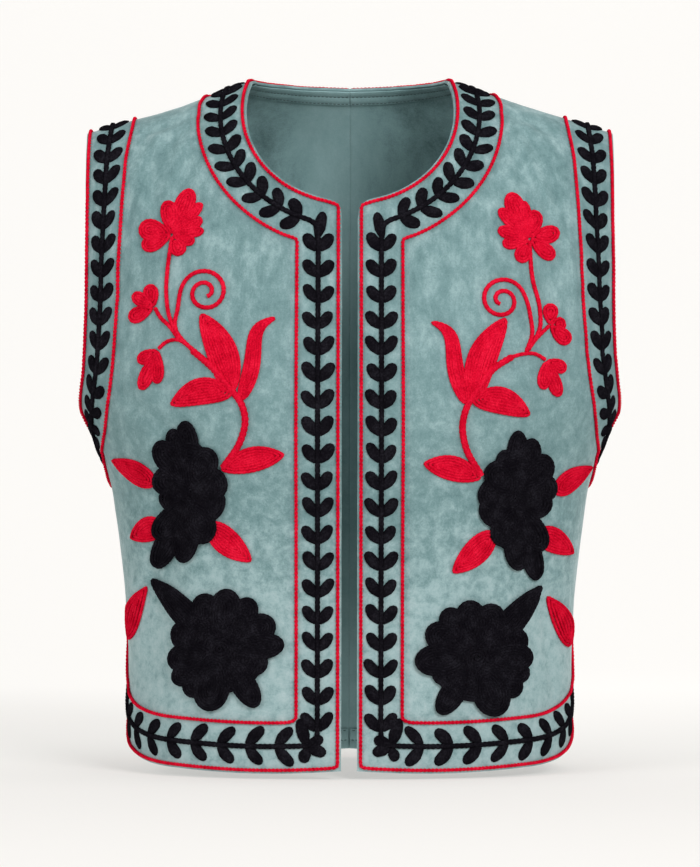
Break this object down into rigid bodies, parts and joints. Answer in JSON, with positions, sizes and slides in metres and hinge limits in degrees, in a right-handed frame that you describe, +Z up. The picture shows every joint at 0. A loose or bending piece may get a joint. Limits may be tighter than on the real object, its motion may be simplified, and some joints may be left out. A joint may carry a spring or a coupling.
{
  "type": "embroidered folk vest",
  "caption": "Sleeveless open-front velvet vest, hollow as worn, with red couched cord edges, black vine borders and red and black wool flowers.",
  "frame": {"origin": "midway between the middles of the two shoulder seams, where the wearer's shoulders carry the vest", "axes": "+X to the right as seen from the front, the front faces -Y, +Z up"},
  "size_m": [0.3899, 0.2235, 0.4934],
  "materials": {
    "velvet": "short crushed pile, soft sheen",
    "velvet_turning": "matt suede-like wrong side",
    "red_cord": "chain-stitched wool cord, matt",
    "red_wool": "chain-stitched wool, matt",
    "black_wool": "looped wool pile, matt"
  },
  "bodies": {
    "root": {"armhole_cord_inner_left": "red_cord", "armhole_cord_inner_right": "red_cord", "armhole_cord_outer_left": "red_cord", "armhole_cord_outer_right": "red_cord", "back_cord_inner_left": "red_cord", "back_cord_inner_right": "red_cord", "back_cord_outer_left": "red_cord", "back_cord_outer_right": "red_cord", "back_left": "velvet", "back_right": "velvet", "black_flower_lower_left": "black_wool", "black_flower_lower_right": "black_wool", "black_flower_upper_left": "black_wool", "black_flower_upper_right": "black_wool", "front_cord_inner_left": "red_cord", "front_cord_inner_right": "red_cord", "front_cord_outer_left": "red_cord", "front_cord_outer_right": "red_cord", "front_left": "velvet", "front_right": "velvet", "hem_turning_left": "velvet_turning", "hem_turning_right": "velvet_turning", "leaf_hem_side_left": "red_wool", "leaf_hem_side_right": "red_wool", "leaf_inner_lower_left": "red_wool", "leaf_inner_lower_right": "red_wool", "leaf_inner_upper_left": "red_wool", "leaf_inner_upper_right": "red_wool", "leaf_side_lower_left": "red_wool", "leaf_side_lower_right": "red_wool", "leaf_side_upper_left": "red_wool", "leaf_side_upper_right": "red_wool", "neck_turning_left": "velvet_turning", "neck_turning_right": "velvet_turning", "red_flower_bud_left": "red_wool", "red_flower_bud_right": "red_wool", "red_flower_small_left": "red_wool", "red_flower_small_right": "red_wool", "red_flower_top_left": "red_wool", "red_flower_top_right": "red_wool", "tulip_leaf_level_left": "red_wool", "tulip_leaf_level_right": "red_wool", "tulip_leaf_tall_left": "red_wool", "tulip_leaf_tall_right": "red_wool", "tulip_leaf_upright_left": "red_wool", "tulip_leaf_upright_right": "red_wool"}
  },
  "joints": []
}
